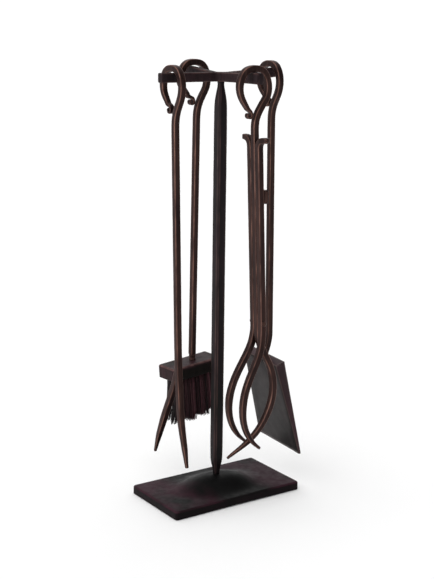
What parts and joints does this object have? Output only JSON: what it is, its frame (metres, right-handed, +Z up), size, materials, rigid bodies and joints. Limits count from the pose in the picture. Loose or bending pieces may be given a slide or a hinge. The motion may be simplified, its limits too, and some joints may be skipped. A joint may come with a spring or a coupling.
{
  "type": "fireplace tool set",
  "caption": "Forged fireplace tool set: poker, brush, tongs and shovel hanging by looped handles from a cross-armed post on a heavy rectangular base.",
  "frame": {"origin": "middle of the base's underside, on the floor", "axes": "+Z up along the post, +X along the base's long side toward the shovel, -Y toward the tongs"},
  "size_m": [0.2532, 0.2215, 0.7021],
  "materials": {
    "base_paint": "satin",
    "post_paint": "satin",
    "hanger_paint": "satin",
    "bronze_finish": "satin",
    "pan_paint": "satin",
    "block_paint": "satin",
    "bristle": "matte",
    "fastener_steel": "brushed"
  },
  "bodies": {
    "stand": {"base_plate": "base_paint", "base_washer": "fastener_steel", "base_bolt": "fastener_steel", "post": "post_paint", "hanger_bar_front": "hanger_paint", "hanger_bar_back": "hanger_paint"},
    "poker": {"poker_rod": "bronze_finish", "poker_prong": "bronze_finish"},
    "brush": {"brush_rod": "bronze_finish", "brush_ferrule": "bronze_finish", "brush_block": "block_paint", "brush_bristles": "bristle"},
    "tongs": {"tongs_rod": "bronze_finish"},
    "tongs_levers": {"tongs_lever_front": "bronze_finish", "tongs_lever_back": "bronze_finish", "tongs_pivot": "bronze_finish", "tongs_tie": "bronze_finish"},
    "shovel": {"shovel_rod": "bronze_finish", "shovel_pan": "pan_paint"}
  },
  "joints": [
    {"name": "poker_lift", "type": "slide", "parent": "stand", "child": "poker", "axis": [-0.9659, 0, 0.2588], "range_m": [0, 0.07]},
    {"name": "brush_lift", "type": "slide", "parent": "stand", "child": "brush", "axis": [0, 0.9659, 0.2588], "range_m": [0, 0.07]},
    {"name": "tongs_lift", "type": "slide", "parent": "stand", "child": "tongs", "axis": [0, -0.9659, 0.2588], "range_m": [0, 0.07]},
    {"name": "shovel_lift", "type": "slide", "parent": "stand", "child": "shovel", "axis": [0.9659, 0, 0.2588], "range_m": [0, 0.07]},
    {"name": "tongs_open", "type": "hinge", "parent": "tongs", "child": "tongs_levers", "pos_m": [0.01491, -0.09, 0.306], "axis": [0, 1, 0], "range_deg": [0, 20]}
  ]
}
